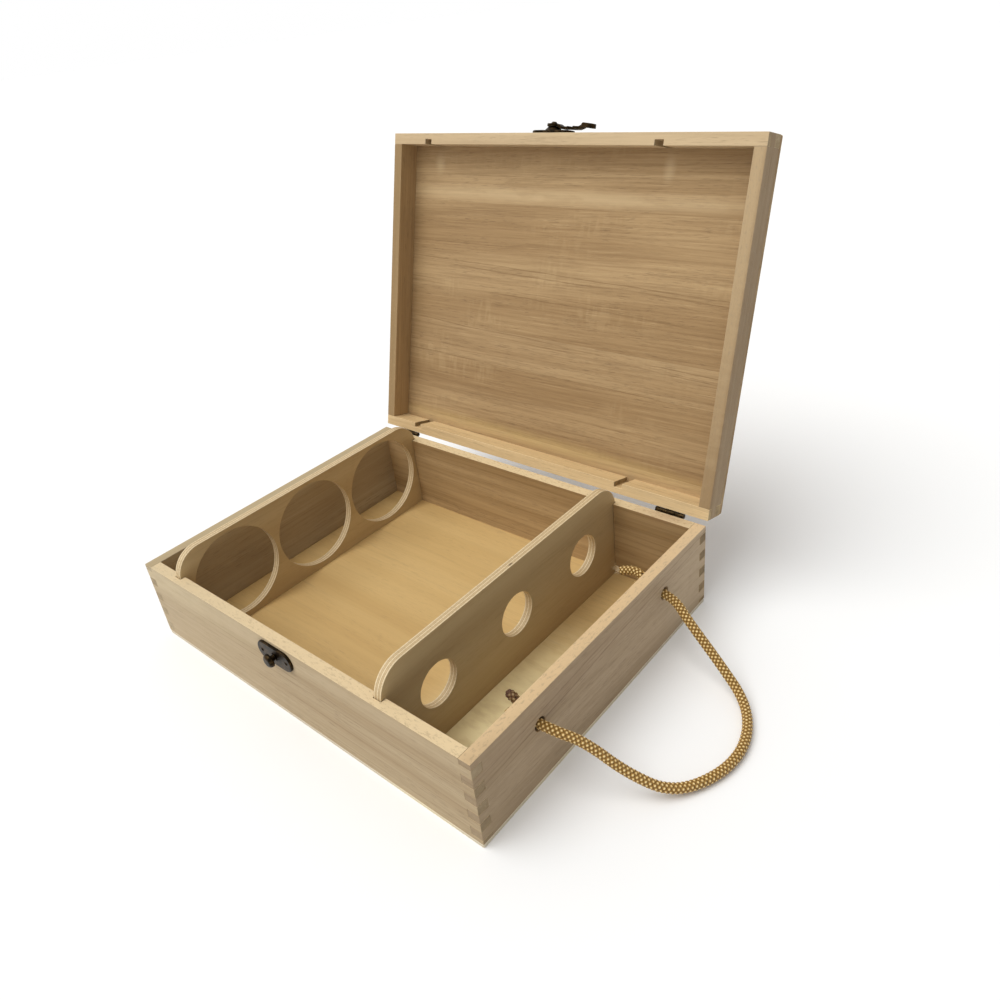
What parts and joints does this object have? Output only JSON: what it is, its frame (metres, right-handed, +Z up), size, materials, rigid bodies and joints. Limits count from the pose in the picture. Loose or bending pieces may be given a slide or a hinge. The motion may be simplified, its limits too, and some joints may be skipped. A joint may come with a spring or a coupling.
{
  "type": "wooden bottle box",
  "caption": "Hinged wooden gift and shipping box for wine bottles, with finger-jointed corners, slotted-in plywood dividers, a hook latch and a rope handle.",
  "frame": {"origin": "middle of the base's underside, on the surface that the box stands on", "axes": "+X along the front to the right, towards the rope handle; +Y from the front to the hinges; +Z up"},
  "size_m": [0.4432, 0.3762, 0.3417],
  "materials": {
    "box_board": "bare planed paulownia, matt",
    "lid_board": "bare planed paulownia, matt",
    "lid_plywood": "bare edge-joined board, matt",
    "bottom_plywood": "bare plywood, matt",
    "divider_plywood": "bare plywood with pale plies at the edge",
    "antique_metal": "dark antique bronze, worn on the edges",
    "brad_steel": "plain",
    "jute_rope": "braided jute cord"
  },
  "bodies": {
    "base": {"front_wall": "box_board", "back_wall": "box_board", "left_end_wall": "box_board", "right_end_wall": "box_board", "bottom_panel": "bottom_plywood", "bottom_brads": "brad_steel", "body_divider": "divider_plywood", "neck_divider": "divider_plywood", "keeper_plate": "antique_metal", "keeper_knob": "antique_metal", "keeper_nails": "antique_metal", "hinge_base_leaf_left": "antique_metal", "hinge_pin_left": "antique_metal", "hinge_base_leaf_right": "antique_metal", "hinge_pin_right": "antique_metal", "hinge_base_nails": "antique_metal", "rope_handle": "jute_rope", "rope_knot_back": "jute_rope", "rope_knot_front": "jute_rope"},
    "lid": {"lid_front_rail": "lid_board", "lid_back_rail": "lid_board", "lid_left_rail": "lid_board", "lid_right_rail": "lid_board", "lid_panel": "lid_plywood", "lid_brads": "brad_steel", "latch_plate": "antique_metal", "latch_nails": "antique_metal", "latch_rivet": "antique_metal", "hinge_lid_leaf_left": "antique_metal", "hinge_lid_leaf_right": "antique_metal", "hinge_lid_nails": "antique_metal"},
    "hook": {"latch_hook": "antique_metal"}
  },
  "joints": [
    {"name": "lid_hinge", "type": "hinge", "parent": "base", "child": "lid", "pos_m": [0, 0.13775, 0.07185], "axis": [1, 0, 0], "range_deg": [0, 105.4]},
    {"name": "hook_pivot", "type": "hinge", "parent": "lid", "child": "hook", "pos_m": [-0.004, 0.21846, 0.33305], "axis": [0, -0.2656, -0.9641], "range_deg": [-90, 90]}
  ]
}
